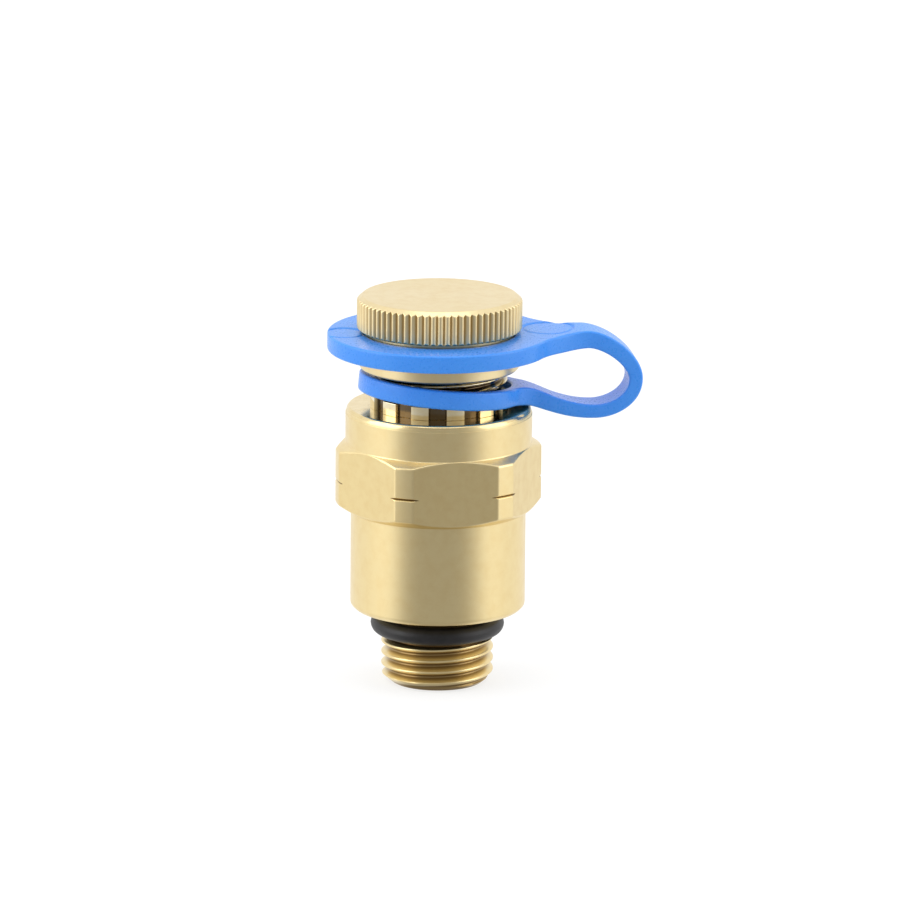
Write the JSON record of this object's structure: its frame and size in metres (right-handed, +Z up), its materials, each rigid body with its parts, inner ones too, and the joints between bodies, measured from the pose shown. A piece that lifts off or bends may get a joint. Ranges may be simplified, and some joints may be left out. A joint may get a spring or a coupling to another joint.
{
  "type": "pressure test plug",
  "caption": "Self-sealing test plug for a needle probe: brass body with a G 1/4 thread, hexagon and O-ring, and a knurled screw cap held by a looped plastic strap.",
  "frame": {"origin": "centre of the male thread's end face, on the plug's axis", "axes": "+Z up the plug's axis towards the cap, +X from the axis towards the strap's loop"},
  "size_m": [0.0369, 0.0262, 0.0463],
  "materials": {
    "brass_body": "fine-turned and satin",
    "brass_cap": "satin with a bright knurl",
    "brass_neck": "bright-turned",
    "brass_inner": "as turned",
    "seal_rubber": "moulded, matt",
    "strap_plastic": "moulded, satin"
  },
  "bodies": {
    "root": {"valve_body": "brass_body", "thread_o_ring": "seal_rubber", "lower_core": "seal_rubber", "core_spacer": "brass_inner", "upper_core": "seal_rubber", "thrust_washer": "brass_inner", "needle_guide": "brass_neck"},
    "gasket": {"cap_gasket": "seal_rubber"},
    "cap": {"cap": "brass_cap"},
    "strap_head": {"strap_top": "strap_plastic"},
    "strap_tail": {"strap_foot": "strap_plastic"}
  },
  "joints": [
    {"name": "cap_lift", "type": "slide", "parent": "root", "child": "gasket", "axis": [0, 0, 1], "range_m": [0, 0.00551]},
    {"name": "cap_turn", "type": "hinge", "parent": "gasket", "child": "cap", "pos_m": [0, 0, 0.0431], "axis": [0, 0, 1], "range_deg": [0, 1980]},
    {"name": "strap_swivel", "type": "hinge", "parent": "gasket", "child": "strap_head", "pos_m": [0, 0, 0.0409], "axis": [0, 0, 1], "continuous": true},
    {"name": "strap_flex", "type": "slide", "parent": "strap_head", "child": "strap_tail", "axis": [0, 0, 1], "range_m": [-0.00551, 0]}
  ],
  "couplings": [
    {"joint": "cap_lift", "follows": "cap_turn", "m_per_rad": 0.00015915},
    {"joint": "strap_flex", "follows": "cap_turn", "m_per_rad": -0.00015915}
  ]
}
